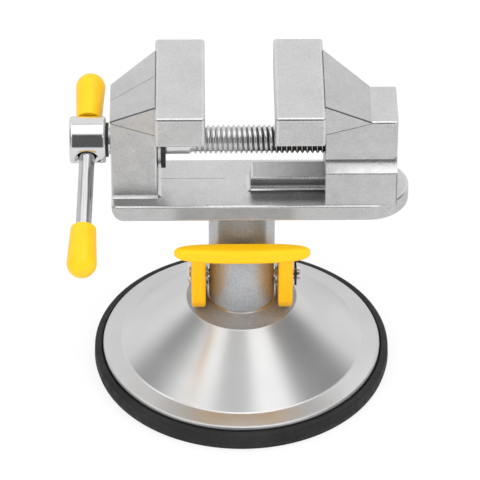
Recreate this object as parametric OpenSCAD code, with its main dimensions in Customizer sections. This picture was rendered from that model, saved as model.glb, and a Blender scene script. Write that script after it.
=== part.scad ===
// Suction base vise with a fixed jaw, a screw-driven jaw and a cam lever that pulls the rubber cup.
// Origin: middle of the suction face, on the bench. X runs along the spindle, Y from front to back.

/* [Suction base] */
// Outside diameter of the rubber cup
cup_d = 120; // [110:1:135]
// Height of the rubber lip round the metal rim
cup_h = 7.8; // [7:0.2:9]
// Thickness of the rubber lip round the metal rim
cup_lip_t = 3.5; // [2.5:0.1:4.5]
// Thickness of the rubber under the metal rim
cup_floor_t = 4.2; // [3.6:0.1:5]
// Width of the ring that seals on the bench
seal_w = 9; // [7:0.5:11]
// Width of the groove inside the sealing ring
groove_w = 2; // [1.5:0.1:3]
// Depth of the groove inside the sealing ring
groove_h = 0.8; // [0.5:0.1:1.5]
// Height of the metal rim above the rubber under it
rim_t = 4.6; // [4:0.1:5]
// Width of the flat flange inside the metal rim
flange_w = 8; // [6:0.5:10]
// Rise of the flange from the rim to the cone
flange_rise = 1.5; // [1:0.1:2]
// Height of the top edge of the cone above the bench
cone_z = 31.4; // [28:0.2:35]
// Diameter of the top edge of the cone
cone_top_d = 45; // [43:0.5:48]
// Rise of the shoulder from the cone's edge to the column
shoulder_rise = 2; // [1.6:0.1:2.2]
// Wall of the metal shell
shell_t = 3; // [2.4:0.1:3.4]

/* [Column] */
// Outside diameter of the column
column_d = 26.4; // [25:0.2:27]
// Bore of the column
column_bore_d = 19; // [18:0.2:20]
// Length of the column above the shoulder
column_len = 47.1; // [46:0.1:56]
// Thickness of the web that closes the top of the column
column_web_t = 10.5; // [8:0.5:12]
// Diameter of the neck of the column inside the shell
neck_d = 23; // [22:0.2:24]
// Length of the neck of the column inside the shell
neck_len = 9; // [7:0.5:10]

/* [Cam lever and pull rod] */
// Height of the cross pin above the bench with the lever up
pin_z = 42.9; // [42:0.1:44]
// Diameter of the cross pin
pin_d = 5; // [4.5:0.1:5.4]
// Lift of the pull rod with the lever right down
pull_lift = 7; // [5:0.25:7.5]
// Turn of the lever from up to right down, in degrees
lever_turn = 70; // [60:1:74]
// Distance between the lever's legs
leg_gap = 29; // [28.6:0.2:30]
// Thickness of a lever leg
leg_t = 5.7; // [5:0.1:6]
// Length of the lever's handle
handle_len = 54; // [48:1:60]
// Height of the handle's underside above the pin
handle_rise = 20.5; // [19:0.5:23]
// Thickness of the handle
handle_t = 6; // [5:0.25:7]
// Width of the handle from front to back at its middle
handle_w = 7; // [6:0.25:8]
// How far the ends of the handle are set back from its middle
handle_bow = 3.6; // [2.4:0.2:3.8]
// Diameter of the pull rod
rod_d = 8; // [7:0.25:9]
// Wire of the return spring
spring_wire_d = 1.6; // [1.2:0.1:1.8]
// Mean diameter of the return spring
spring_d = 20; // [18:0.5:21]
// Curls of the return spring
spring_curls = 4; // [2:1:4]

/* [Head] */
// Length of the plate
plate_len = 117.5; // [114:0.5:125]
// Width of the plate
plate_w = 32; // [31:0.5:36]
// Thickness of the plate
plate_t = 7.1; // [6.5:0.1:9]
// Distance from the column's axis to the fixed jaw's end of the plate
plate_back = 51.5; // [50:0.5:54]
// Length of the fixed pillar
pillar_len = 18.5; // [17:0.5:20]
// Width of the fixed pillar
pillar_w = 18.2; // [17:0.2:22]
// Height of the spindle above the plate
spindle_rise = 21.3; // [20:0.1:23]
// Width of the guide rail
rail_w = 11.8; // [10:0.2:13]
// Height of the guide rail
rail_h = 6.6; // [6:0.1:7.2]
// Start of the guide rail, from the column's axis
rail_start = 3.4; // [2:0.2:6]
// Length of the guide rail
rail_len = 55; // [50:0.5:58]

/* [Jaws] */
// Width of the jaws
jaw_w = 55; // [46:1:60]
// Length of a jaw block along the spindle
jaw_len = 19.4; // [17:0.2:21]
// Height of a jaw block
jaw_h = 13.4; // [12:0.2:16]
// Height of the jaws' underside above the spindle
jaw_rise = 15.8; // [15:0.1:18]
// Opening between the jaws as photographed
jaw_gap = 27; // [24:1:30]
// Widest opening between the jaws
jaw_open = 40; // [36:1:42]
// Width of the web where it meets the jaw block
web_w = 39.4; // [36:0.2:42]
// Width of the web at its outer end
web_end_w = 25.6; // [24:0.2:28]
// Length of the saddle that carries the moving jaw
saddle_len = 28; // [26:0.5:30]
// Width of the saddle's body
saddle_w = 25; // [24:0.2:27]
// Width of the saddle's foot
foot_w = 30.4; // [29:0.2:31]
// Height of the saddle's foot
foot_h = 15; // [14:0.2:16]

/* [Spindle and bar] */
// Outside diameter of the spindle's thread
thread_d = 11.5; // [11:0.1:12]
// Pitch of the spindle's thread
pitch = 2; // [1.5:0.25:2.5]
// Depth of the spindle's thread
thread_depth = 1.1; // [0.8:0.1:1.2]
// Thread left in the saddle at the widest opening
engage_len = 11.4; // [8:0.2:14]
// Plain length of the spindle between the pillar and the thread
plain_len = 13.8; // [12:0.2:16]
// Diameter of the spindle's head
hub_d = 18.5; // [17:0.1:20]
// Length of the spindle's head
hub_len = 14.3; // [13:0.1:16]
// Diameter of the tommy bar
bar_d = 6.1; // [5.5:0.1:6.4]
// Length of the tommy bar, without its caps
bar_len = 83.6; // [78:0.2:96]
// Droop of the bar's long end below level, in degrees
bar_droop = 18; // [0:1:40]
// Lean of the bar in its loose hole, in degrees
bar_lean = 1.8; // [0:0.2:2]
// Length of a bar cap
cap_len = 21.7; // [19:0.1:24]
// Diameter of a bar cap near its domed end
cap_d = 11.7; // [10.5:0.1:13]
// Diameter of a bar cap at its open end
cap_mouth_d = 10; // [9:0.1:10.4]

/* [Hidden] */
$fn = 72;

// Clearances and the overrun of cuts
over = 1;
run_gap = 0.08;
slide_gap = 0.1;
fit_gap = 0.05;
cam_gap = 0.1;
seat_gap = 0.1;
hang_gap = 0.3;

// Heights of the stack, from the bench up
cup_r = cup_d / 2;
rim_r = cup_r - cup_lip_t;
rim_edge_r = 1.4;
rim_z = cup_floor_t + rim_t;
crease_r = rim_r - flange_w;
crease_z = rim_z + flange_rise;
cone_top_r = cone_top_d / 2;
column_r = column_d / 2;
shoulder_z = cone_z + shoulder_rise;
column_top_z = shoulder_z + column_len;
swivel_washer_t = 0.8;
plate_z = column_top_z + swivel_washer_t;
plate_top_z = plate_z + plate_t;
spindle_z = plate_top_z + spindle_rise;
jaw_z = spindle_z + jaw_rise;
jaw_top_z = jaw_z + jaw_h;

// Shell: vertical thickness of the sloping wall, and the socket for the column's neck
cone_rise = cone_z - crease_z;
cone_run = crease_r - cone_top_r;
wall_drop = shell_t * sqrt(1 + pow(cone_rise / cone_run, 2));
socket_z = shoulder_z - neck_len;
socket_wall = 4;

// Cup insert and pull rod
insert_r = 24;
insert_t = 2;
insert_boss_r = 7;
insert_boss_h = 3.4;
insert_z = cup_floor_t;
insert_top_z = insert_z + insert_t + insert_boss_h;
rod_eye_r = column_bore_d / 2 - slide_gap;
rod_eye_below = 7;
rod_eye_above = 7;
rod_end_gap = 0.6;

// Column: slots for the pin and the swivel bolt in the web
slot_w = pin_d + 2 * slide_gap;
column_chamfer = 0.8;
web_z = column_top_z - column_web_t;
bolt_d = 8;
bolt_head_d = 13;
bolt_head_h = 6;
bolt_socket_d = 6;
bolt_socket_depth = 3.5;
bolt_depth = 5;
spring_washer_t = 2;
spring_washer_d = 14.8;
spring_washer_slot = 1.2;

// Cross pin
pin_head_d = 8.8;
pin_head_t = 1.6;
pin_float = 1.1;
pin_tail = 1.6;
pin_clip_d = 10;
pin_clip_t = 0.8;
pin_clip_groove_d = 4;
pin_washer_d = 8.4;
pin_washer_t = 0.9;
leg_in = leg_gap / 2;
leg_out = leg_in + leg_t;
clip_slot_share = 0.62;

// Cam: its height over the shoulder grows evenly with the lever's turn
cam_rate = pull_lift / (lever_turn * PI / 180);
cam_h = pin_z - shoulder_at(leg_in) - cam_gap;
cam_step = 5;
leg_heel_r = 8.4;
handle_end_share = 0.08;
handle_gap = 1.3;
handle_back = column_r + handle_gap;

// Head casting
plate_corner_r = 5;
pillar_x = -plate_back;
pillar_end_x = pillar_x + pillar_len;
foot_cove_r = 2;
jaw_overlap = 0.9;
fixed_jaw_x = pillar_end_x - jaw_overlap;
fixed_face_x = fixed_jaw_x + jaw_len;
moving_face_x = fixed_face_x + jaw_gap;
jaw_round = 1.5;
web_end_h = 0.8;
web_drop = 11.6;
rail_flare = 1.2;
rail_cove_r = 2;
rail_cove_z = 2.6;

// Moving jaw
saddle_set_back = 0.7;
saddle_x = moving_face_x + jaw_len + saddle_set_back;
saddle_end_x = saddle_x + saddle_len;
tail_len = 10.4;
cove_h = 5;
saddle_land = 0.8;
saddle_top_z = jaw_z + saddle_land;

// Spindle
thread_r = thread_d / 2;
root_r = thread_r - thread_depth;
crest_share = 0.14;
hub_chamfer = 1.2;
end_play = 0.9;
thrust_washer_t = 0.9;
thrust_washer_d = 13.6;
hub_end_x = pillar_x - end_play - thrust_washer_t;
hub_x = hub_end_x - hub_len;
hub_mid_x = hub_x + hub_len / 2;
spindle_washer_d = 19.4;
spindle_washer_t = 1.1;
spindle_clip_d = 22.4;
spindle_clip_t = 1.8;
spindle_groove_d = 9.4;
spindle_end_x = saddle_x + jaw_open - jaw_gap + engage_len;
thread_x = pillar_end_x + plain_len;
hub_hole_d = bar_d + 1;
hub_sink = 1.2;

// Tommy bar: the rear cap rests against the spindle's head
cap_wall_end = 6;
cap_depth = cap_len - cap_wall_end;
bar_rear = hub_d / 2 + hang_gap + cap_depth;
bar_front = bar_len - bar_rear;

// Height of the shell's shoulder at a radius from the column's axis
function shoulder_at(r) = cone_z + shoulder_rise * (cone_top_r - r) / (cone_top_r - column_r);

// Point of the cam in the lever's side view, where the shoulder touches it after a turn of a degrees
function cam_point(a) =
    let (h = cam_h + cam_rate * a * PI / 180)
    [-h * sin(a) - cam_rate * cos(a), -h * cos(a) + cam_rate * sin(a)];

// Outline of the thread from the thread's start to the spindle's end, as [radius, distance]
function thread_points(length) = [
    for (turn = [0 : floor(length / pitch) - 1])
        for (share = [[0, 0], [crest_share, 0], [0.5, 1], [0.5 + crest_share, 1]])
            [thread_r - thread_depth * share[1], (turn + share[0]) * pitch]
];

module along_x(x, z) {
    translate([x, 0, z]) rotate([0, 90, 0]) children();
}

module ring(d, hole, t) {
    difference() {
        cylinder(d = d, h = t);
        translate([0, 0, -over]) cylinder(d = hole, h = t + 2 * over);
    }
}

module open_clip(d, groove, t) {
    difference() {
        ring(d, groove, t);
        translate([-d - over, -groove * clip_slot_share / 2, -over])
            cube([d + over, groove * clip_slot_share, t + 2 * over]);
    }
}

// Cast metal shell: rim, flange, cone and shoulder in one wall, with a socket for the column
module base_shell() {
    color("silver") difference() {
        rotate_extrude($fn = 144) shell_outline();
        translate([0, 0, socket_z - over]) cylinder(d = neck_d + 2 * fit_gap, h = neck_len + 2 * over);
    }
}

module shell_outline() {
    inner_x = crease_r - shell_t;
    polygon([
        [0, shoulder_z],
        [0, socket_z],
        [neck_d / 2 + socket_wall, socket_z],
        [neck_d / 2 + socket_wall, cone_z - wall_drop],
        [cone_top_r, cone_z - wall_drop],
        [inner_x, crease_z + (crease_r - inner_x) * cone_rise / cone_run - wall_drop],
        [inner_x, cup_floor_t],
        [rim_r, cup_floor_t],
        [rim_r, rim_z - rim_edge_r],
        for (a = [15 : 15 : 90])
            [rim_r - rim_edge_r + rim_edge_r * cos(a), rim_z - rim_edge_r + rim_edge_r * sin(a)],
        [crease_r, crease_z],
        [cone_top_r, cone_z],
        [column_r, shoulder_z]
    ]);
}

// Rubber cup: a flat disc with a grooved sealing ring and a lip that holds the metal rim
module suction_cup() {
    color("dimgray") rotate_extrude($fn = 144) polygon([
        [0, 0],
        [cup_r - seal_w - groove_w, 0],
        [cup_r - seal_w - groove_w, groove_h],
        [cup_r - seal_w, groove_h],
        [cup_r - seal_w, 0],
        [cup_r - rim_edge_r, 0],
        for (a = [-75 : 15 : 0])
            [cup_r - rim_edge_r + rim_edge_r * cos(a), rim_edge_r + rim_edge_r * sin(a)],
        for (a = [0 : 15 : 90])
            [cup_r - rim_edge_r + rim_edge_r * cos(a), cup_h - rim_edge_r + rim_edge_r * sin(a)],
        [rim_r + fit_gap, cup_h],
        [rim_r + fit_gap, cup_floor_t],
        [0, cup_floor_t]
    ]);
}

// Column: a tube closed at its top by a web, with a slot each side for the cross pin
module column() {
    slot_top = pin_z + pull_lift;
    color("lightgray") difference() {
        union() {
            translate([0, 0, shoulder_z]) cylinder(r = column_r, h = column_len - column_chamfer);
            translate([0, 0, column_top_z - column_chamfer])
                cylinder(r1 = column_r, r2 = column_r - column_chamfer, h = column_chamfer);
            translate([0, 0, socket_z]) cylinder(d = neck_d, h = neck_len);
        }
        translate([0, 0, socket_z - over])
            cylinder(d = column_bore_d, h = web_z - socket_z + over);
        translate([0, 0, web_z - over])
            cylinder(d = bolt_d + 2 * slide_gap, h = column_web_t + 2 * over);
        for (z = [pin_z, slot_top])
            along_x(-column_d, z) cylinder(d = slot_w, h = 2 * column_d);
        translate([-column_d, -slot_w / 2, pin_z]) cube([2 * column_d, slot_w, pull_lift]);
    }
}

// Return spring: one unbroken wire that pushes the insert down from the socket
spring_low = insert_z + insert_t + seat_gap + spring_wire_d / 2;
spring_high = socket_z - seat_gap - spring_wire_d / 2;
spring_sides = 6;
spring_rings = 8;
spring_wire_r = spring_wire_d / 2;

function spring_point(i) =
    let (share = i / (spring_curls * spring_rings), a = 360 * i / spring_rings)
    [spring_d / 2 * cos(a), spring_d / 2 * sin(a), spring_low + (spring_high - spring_low) * share];

function spring_path() = concat(
    [spring_point(0) - [0, spring_wire_d, 0]],
    [for (i = [0 : spring_curls * spring_rings]) spring_point(i)],
    [spring_point(spring_curls * spring_rings) + [0, spring_wire_d, 0]]
);

module wire_tube(path, r, sides) {
    count = len(path);
    points = [
        for (i = [0 : count - 1])
            let (
                before = path[max(i - 1, 0)],
                after = path[min(i + 1, count - 1)],
                along = (after - before) / norm(after - before),
                side = [path[i][0], path[i][1], 0] / norm([path[i][0], path[i][1], 0]),
                flat = side - along * (side * along),
                out = flat / norm(flat),
                up = cross(along, out)
            )
            for (j = [0 : sides - 1])
                let (a = 360 * j / sides)
                path[i] + r * (out * cos(a) + up * sin(a))
    ];
    walls = [
        for (i = [0 : count - 2])
            for (j = [0 : sides - 1])
                let (k = (j + 1) % sides)
                each [
                    [i * sides + k, i * sides + j, (i + 1) * sides + j],
                    [(i + 1) * sides + k, i * sides + k, (i + 1) * sides + j]
                ]
    ];
    caps = [
        for (j = [1 : sides - 2])
            each [
                [0, j, j + 1],
                [(count - 1) * sides, (count - 1) * sides + j + 1, (count - 1) * sides + j]
            ]
    ];
    polyhedron(points, concat(walls, caps));
}

module return_spring() {
    color("gainsboro") wire_tube(spring_path(), spring_wire_r, spring_sides);
}

// Least distance between two points of the spring's axis that lie at least half a curl apart
function spring_gap() = min([
    for (i = [0 : spring_curls * spring_rings])
        for (j = [0 : spring_curls * spring_rings])
            if (j - i >= spring_rings / 2) norm(spring_point(j) - spring_point(i)) - spring_wire_d
]);
echo(spring_gap_mm = spring_gap());

// Thin washer between the column and the plate
module swivel_washer() {
    color("whitesmoke") translate([0, 0, column_top_z])
        ring(column_d - 2 * column_chamfer, bolt_d + 2 * slide_gap, swivel_washer_t);
}

// Headed cross pin through the lever, the column's slots and the pull rod
module cross_pin() {
    clip_x = leg_out + pin_float;
    pin_len = 2 * leg_out + seat_gap + pin_float + pin_clip_t + pin_tail;
    color("silver") difference() {
        union() {
            along_x(-leg_out - seat_gap, pin_z) cylinder(d = pin_d, h = pin_len);
            along_x(-leg_out - seat_gap - pin_head_t, pin_z) cylinder(d = pin_head_d, h = pin_head_t);
        }
        along_x(clip_x, pin_z) ring(2 * pin_d, pin_clip_groove_d, pin_clip_t + fit_gap);
    }
}

module pin_clip() {
    color("dimgray") along_x(leg_out + pin_float, pin_z)
        open_clip(pin_clip_d, pin_clip_groove_d + fit_gap, pin_clip_t);
}

// One washer on each side, between the column and a lever leg
module pin_washers() {
    color("gray") {
        along_x(leg_in - seat_gap - pin_washer_t, pin_z)
            ring(pin_washer_d, pin_d + 2 * fit_gap, pin_washer_t);
        along_x(-leg_in + seat_gap, pin_z)
            ring(pin_washer_d, pin_d + 2 * fit_gap, pin_washer_t);
    }
}

// Pull rod: an eye that slides in the column and a rod that holds the cup's insert
module pull_rod() {
    rod_z = insert_z + rod_end_gap;
    color("darkgray") difference() {
        union() {
            translate([0, 0, rod_z]) cylinder(d = rod_d, h = pin_z - rod_z);
            translate([0, 0, pin_z - rod_eye_below])
                cylinder(r = rod_eye_r, h = rod_eye_below + rod_eye_above);
        }
        along_x(-column_d, pin_z) cylinder(d = pin_d + 2 * fit_gap, h = 2 * column_d);
    }
}

// Steel insert bonded to the middle of the cup, with a boss for the rod
module cup_insert() {
    color("gray") difference() {
        union() {
            translate([0, 0, insert_z]) cylinder(r = insert_r, h = insert_t);
            translate([0, 0, insert_z]) cylinder(r = insert_boss_r, h = insert_t + insert_boss_h);
        }
        translate([0, 0, insert_z + rod_end_gap - fit_gap])
            cylinder(d = rod_d + 2 * fit_gap, h = insert_top_z);
    }
}

// Lever: a bowed handle on two cheeks, whose lower ends are the cams
module cam_lever() {
    color("gold") translate([0, 0, pin_z]) {
        for (side = [-1, 1])
            difference() {
                translate([side > 0 ? leg_in : -leg_out, 0, 0]) rotate([90, 0, 90])
                    linear_extrude(leg_t) cheek_outline();
                translate([side > 0 ? leg_in - over : -leg_out - over, 0, 0]) rotate([0, 90, 0])
                    cylinder(d = pin_d + 2 * run_gap, h = leg_t + 2 * over);
            }
        translate([0, 0, handle_rise]) linear_extrude(handle_t) handle_plan();
    }
}

module cheek_outline() {
    handle_mid = handle_rise + handle_t / 2;
    polygon([
        for (a = [0 : cam_step : lever_turn]) cam_point(a),
        [-handle_back - handle_w + handle_bow / 2, handle_mid],
        [-handle_back - handle_w / 4, handle_mid],
        for (a = [60 : -15 : -45]) [leg_heel_r * cos(a), leg_heel_r * sin(a)],
        [leg_heel_r * cos(45), -cam_h]
    ]);
}

// Plan of the handle: straight at the back, bowed at the front, with round ends
module handle_plan() {
    bow_r = (pow(handle_len / 2, 2) + pow(handle_bow, 2)) / (2 * handle_bow);
    front = -handle_back - handle_w;
    end_r = (handle_w - handle_bow) / 2 + handle_end_share * handle_bow;
    intersection() {
        translate([0, front + bow_r]) circle(r = bow_r, $fn = 360);
        translate([end_r - handle_len / 2, front]) square([handle_len - 2 * end_r, handle_w]);
    }
    for (side = [-1, 1])
        translate([side * (handle_len / 2 - end_r), -handle_back - end_r]) circle(r = end_r);
}

// Head casting: plate, guide rail, pillar, web and fixed jaw in one piece
module head_casting() {
    color("lightgray") difference() {
        union() {
            translate([0, 0, plate_z]) linear_extrude(plate_t) plate_plan();
            guide_rail();
            pillar();
            web(pillar_x, fixed_jaw_x, jaw_top_z - web_drop, jaw_top_z, web_end_w, web_w);
            jaw_block(fixed_jaw_x);
        }
        translate([0, 0, plate_z - over]) cylinder(d = bolt_d + 2 * fit_gap, h = bolt_depth + seat_gap + over);
        along_x(pillar_x - over, spindle_z)
            cylinder(d = thread_d + 2 * run_gap, h = pillar_len + 2 * over);
    }
}

module plate_plan() {
    end_r = plate_w / 2;
    end_x = plate_len - plate_back - end_r;
    translate([end_x, 0]) circle(r = end_r);
    translate([-plate_back + plate_corner_r, -end_r])
        square([end_x + plate_back - plate_corner_r, plate_w]);
    translate([-plate_back, -end_r + plate_corner_r])
        square([end_x + plate_back, plate_w - 2 * plate_corner_r]);
    for (side = [-1, 1])
        translate([-plate_back + plate_corner_r, side * (end_r - plate_corner_r)])
            circle(r = plate_corner_r);
}

// Section of the rail, grown by g for the groove that runs on it
module rail_section(g) {
    half = rail_w / 2 + g;
    foot = rail_w / 2 + rail_flare + g;
    difference() {
        translate([-foot, -over]) square([2 * foot, rail_h + over + g]);
        for (side = [-1, 1]) {
            translate([side * (rail_w / 2 + rail_flare), rail_cove_z]) circle(r = rail_cove_r - g);
            translate([side > 0 ? half : -half - foot, rail_cove_z]) square([foot, rail_h]);
        }
    }
}

module guide_rail() {
    translate([rail_start, 0, plate_top_z]) rotate([90, 0, 90])
        linear_extrude(rail_len) rail_section(0);
    translate([rail_start, rail_w / 2, plate_top_z]) rotate([90, 0, 0])
        linear_extrude(rail_w) cove_section(rail_flare);
}

// Section of a concave fillet whose corner is at the origin, towards -X and +Y
module cove_section(r) {
    difference() {
        translate([-r, -over]) square([r + over, r + over]);
        translate([-r, r]) circle(r = r);
    }
}

module pillar() {
    height = jaw_top_z - web_drop - plate_top_z;
    translate([pillar_x, -pillar_w / 2, plate_top_z - over]) cube([pillar_len, pillar_w, height + over]);
    for (side = [0, 1]) mirror([0, side, 0])
        translate([pillar_x, -pillar_w / 2, plate_top_z]) rotate([90, 0, 90])
            linear_extrude(pillar_len) cove_section(foot_cove_r);
    translate([pillar_end_x, pillar_w / 2, plate_top_z]) rotate([90, 0, 0])
        linear_extrude(pillar_w) mirror([1, 0]) cove_section(foot_cove_r);
}

// Jaw block, its top edges rounded, starting at x
module jaw_block(x) {
    translate([x, 0, jaw_z]) rotate([90, 0, 90]) linear_extrude(jaw_len) {
        translate([-jaw_w / 2, 0]) square([jaw_w, jaw_h - jaw_round]);
        translate([-jaw_w / 2 + jaw_round, 0]) square([jaw_w - 2 * jaw_round, jaw_h]);
        for (side = [-1, 1])
            translate([side * (jaw_w / 2 - jaw_round), jaw_h - jaw_round]) circle(r = jaw_round);
    }
}

// Wedge behind a jaw block, from its low end at x0 to the block at x1, cut from two outlines
module web(x0, x1, z0, z1, w0, w1) {
    bury = jaw_round * sign(x1 - x0);
    intersection() {
        rotate([90, 0, 0]) translate([0, 0, -web_w]) linear_extrude(2 * web_w)
            polygon([[x0, z0 - web_end_h], [x0, z0], [x1, z1], [x1 + bury, z1], [x1 + bury, jaw_z], [x1, jaw_z]]);
        translate([0, 0, jaw_z - web_drop]) linear_extrude(2 * jaw_h + web_drop)
            polygon([[x0, -w0 / 2], [x1, -w1 / 2], [x1 + bury, -w1 / 2], [x1 + bury, w1 / 2], [x1, w1 / 2], [x0, w0 / 2]]);
    }
}

// Swivel bolt from inside the column into the plate
module swivel_bolt() {
    head_top = web_z - spring_washer_t;
    color("silver") difference() {
        union() {
            translate([0, 0, head_top - bolt_head_h]) cylinder(d = bolt_head_d, h = bolt_head_h);
            translate([0, 0, head_top]) cylinder(d = bolt_d, h = plate_z + bolt_depth - head_top);
        }
        translate([0, 0, head_top - bolt_head_h - over])
            cylinder(d = bolt_socket_d, h = bolt_socket_depth + over, $fn = 6);
    }
}

module spring_washer() {
    color("gray") translate([0, 0, web_z - spring_washer_t]) difference() {
        ring(spring_washer_d, bolt_d + 2 * fit_gap, spring_washer_t);
        translate([0, -spring_washer_slot / 2, -over])
            cube([spring_washer_d, spring_washer_slot, spring_washer_t + 2 * over]);
    }
}

// Moving jaw: jaw block, web, tail and a saddle that straddles the rail, cast in one piece
module moving_jaw() {
    color("lightgray") difference() {
        union() {
            jaw_block(moving_face_x);
            web(saddle_end_x - tail_len, moving_face_x + jaw_len, saddle_top_z, jaw_top_z, saddle_w, web_w);
            translate([saddle_x, 0, plate_top_z + slide_gap]) rotate([90, 0, 90])
                linear_extrude(saddle_len) saddle_section();
            translate([moving_face_x + jaw_len - over, -saddle_w / 2, jaw_z])
                cube([tail_len, saddle_w, saddle_top_z - jaw_z]);
        }
        translate([saddle_x - over, 0, plate_top_z]) rotate([90, 0, 90])
            linear_extrude(saddle_len + 2 * over) rail_section(slide_gap);
        along_x(saddle_x - over, spindle_z)
            cylinder(d = thread_d + 2 * run_gap, h = saddle_len + 2 * over);
    }
}

module saddle_section() {
    top = saddle_top_z - plate_top_z - slide_gap;
    cove_w = (foot_w - saddle_w) / 2;
    polygon([
        [-foot_w / 2, 0],
        [foot_w / 2, 0],
        for (a = [0 : 15 : 90])
            [saddle_w / 2 + cove_w * (1 - sin(a)), foot_h + cove_h * (1 - cos(a))],
        [saddle_w / 2, top],
        [-saddle_w / 2, top],
        for (a = [90 : -15 : 0])
            [-saddle_w / 2 - cove_w * (1 - sin(a)), foot_h + cove_h * (1 - cos(a))]
    ]);
}

// Spindle: head, plain journal and thread turned from one bar
module spindle() {
    color("silver") difference() {
        along_x(0, spindle_z) rotate_extrude() spindle_outline();
        translate([hub_mid_x, 0, spindle_z]) bar_turn() {
            translate([0, 0, -hub_d]) cylinder(d = hub_hole_d, h = 2 * hub_d);
            for (end = [0, 1]) mirror([0, 0, end]) translate([0, 0, hub_d / 2 - hub_sink])
                cylinder(d1 = hub_hole_d, d2 = hub_hole_d + 4 * hub_sink, h = 2 * hub_sink);
        }
    }
}

module spindle_outline() {
    groove_x = pillar_end_x + spindle_washer_t + seat_gap;
    groove_end = groove_x + spindle_clip_t + fit_gap;
    thread = thread_points(spindle_end_x - thread_x - pitch);
    polygon(concat(
        [
            [0, hub_x],
            [hub_d / 2 - hub_chamfer, hub_x],
            [hub_d / 2, hub_x + hub_chamfer],
            [hub_d / 2, hub_end_x - hub_chamfer],
            [hub_d / 2 - hub_chamfer, hub_end_x],
            [thread_r, hub_end_x],
            [thread_r, groove_x],
            [spindle_groove_d / 2, groove_x],
            [spindle_groove_d / 2, groove_end],
            [thread_r, groove_end]
        ],
        [for (p = thread) [p[0], thread_x + p[1]]],
        [
            [root_r, spindle_end_x],
            [0, spindle_end_x]
        ]
    ));
}

module thrust_washer() {
    color("dimgray") along_x(hub_end_x + fit_gap, spindle_z)
        ring(thrust_washer_d, thread_d + 2 * run_gap, thrust_washer_t);
}

module spindle_washer() {
    color("silver") along_x(pillar_end_x + fit_gap, spindle_z)
        ring(spindle_washer_d, thread_d + 2 * run_gap, spindle_washer_t - fit_gap);
}

module spindle_clip() {
    color("dimgray") along_x(pillar_end_x + spindle_washer_t + seat_gap, spindle_z)
        open_clip(spindle_clip_d, spindle_groove_d + 2 * fit_gap, spindle_clip_t);
}

// Turns a shape drawn along +Z so that it points to the rear along the tommy bar
module bar_turn() {
    rotate([0, 0, -bar_lean]) rotate([-90 + bar_droop, 0, 0]) children();
}

module on_bar(distance) {
    translate([hub_mid_x, 0, spindle_z]) bar_turn() translate([0, 0, distance]) children();
}

module tommy_bar() {
    color("gainsboro") on_bar(-bar_front) cylinder(d = bar_d, h = bar_len);
}

// Cap drawn with its mouth at the origin and its dome towards +Z
module bar_cap() {
    dome_r = cap_d / 2;
    color("gold") difference() {
        rotate_extrude() polygon([
            [0, 0],
            [cap_mouth_d / 2, 0],
            for (a = [0 : 10 : 80])
                [dome_r * cos(a), cap_len - dome_r + dome_r * sin(a)],
            [0, cap_len]
        ]);
        translate([0, 0, -over]) cylinder(d = bar_d + 2 * fit_gap, h = cap_depth + over + fit_gap);
    }
}

module bar_cap_rear() {
    on_bar(bar_rear - cap_depth) bar_cap();
}

module bar_cap_front() {
    on_bar(cap_depth - bar_front) mirror([0, 0, 1]) bar_cap();
}

base_shell();
column();
suction_cup();
return_spring();
swivel_washer();
cross_pin();
pin_clip();
pin_washers();
pull_rod();
cup_insert();
cam_lever();
head_casting();
swivel_bolt();
spring_washer();
moving_jaw();
spindle();
thrust_washer();
spindle_washer();
spindle_clip();
tommy_bar();
bar_cap_front();
bar_cap_rear();
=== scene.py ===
import math

import bmesh
import bpy
from mathutils import Matrix, Vector


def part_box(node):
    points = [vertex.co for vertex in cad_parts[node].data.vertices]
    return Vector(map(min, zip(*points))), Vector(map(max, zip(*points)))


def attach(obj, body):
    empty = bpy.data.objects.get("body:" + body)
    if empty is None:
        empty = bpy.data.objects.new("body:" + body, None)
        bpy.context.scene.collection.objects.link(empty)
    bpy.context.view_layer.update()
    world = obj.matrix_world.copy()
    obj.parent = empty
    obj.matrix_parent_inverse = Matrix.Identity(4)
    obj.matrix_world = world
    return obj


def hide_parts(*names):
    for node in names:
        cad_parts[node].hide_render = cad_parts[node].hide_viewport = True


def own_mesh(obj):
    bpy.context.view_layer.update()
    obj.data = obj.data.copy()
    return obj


# The looks of a small bench vise on a rubber suction base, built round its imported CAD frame.
# Metres, +Z up, X along the spindle; the camera stands in front, on the -Y side.
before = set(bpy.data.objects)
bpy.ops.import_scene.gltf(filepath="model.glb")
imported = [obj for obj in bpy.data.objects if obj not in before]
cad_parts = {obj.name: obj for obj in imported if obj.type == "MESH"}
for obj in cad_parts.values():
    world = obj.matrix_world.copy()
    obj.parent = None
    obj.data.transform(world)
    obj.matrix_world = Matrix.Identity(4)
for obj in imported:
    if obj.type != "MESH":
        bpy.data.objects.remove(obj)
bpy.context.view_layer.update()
MM = 0.001


# Camera: a long lens on a high stand in front of the vise, as the photograph was taken. Its place and
# its turns were fitted to measured points of the photograph.
scene = bpy.context.scene
camera_data = bpy.data.cameras.new("camera")
camera_data.lens = 285.43
camera_data.sensor_width = 36
camera = bpy.data.objects.new("camera", camera_data)
camera.location = (-0.01699, -1.20913, 0.98828)
pan = Matrix.Rotation(math.radians(-0.773), 3, "Z")
tilt = Matrix.Rotation(math.radians(90 - 37.52), 3, "X")
roll = Matrix.Rotation(math.radians(0.171), 3, "Z")
camera.rotation_euler = (pan @ tilt @ roll).to_euler()
scene.collection.objects.link(camera)
scene.camera = camera
scene.view_settings.view_transform = "Standard"


# Studio: a white tent with a broad lamp over the vise and one towards the camera. What metal mirrors is
# two long light panels overhead, a bright wall behind, dimmer sides and a dark gap round the camera.
def tree_of(owner):
    owner.use_nodes = True
    owner.node_tree.nodes.clear()
    return owner.node_tree.nodes, owner.node_tree.links


def add_node(nodes, kind, **values):
    node = nodes.new(kind)
    for key, value in values.items():
        setattr(node, key, value)
    return node


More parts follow.
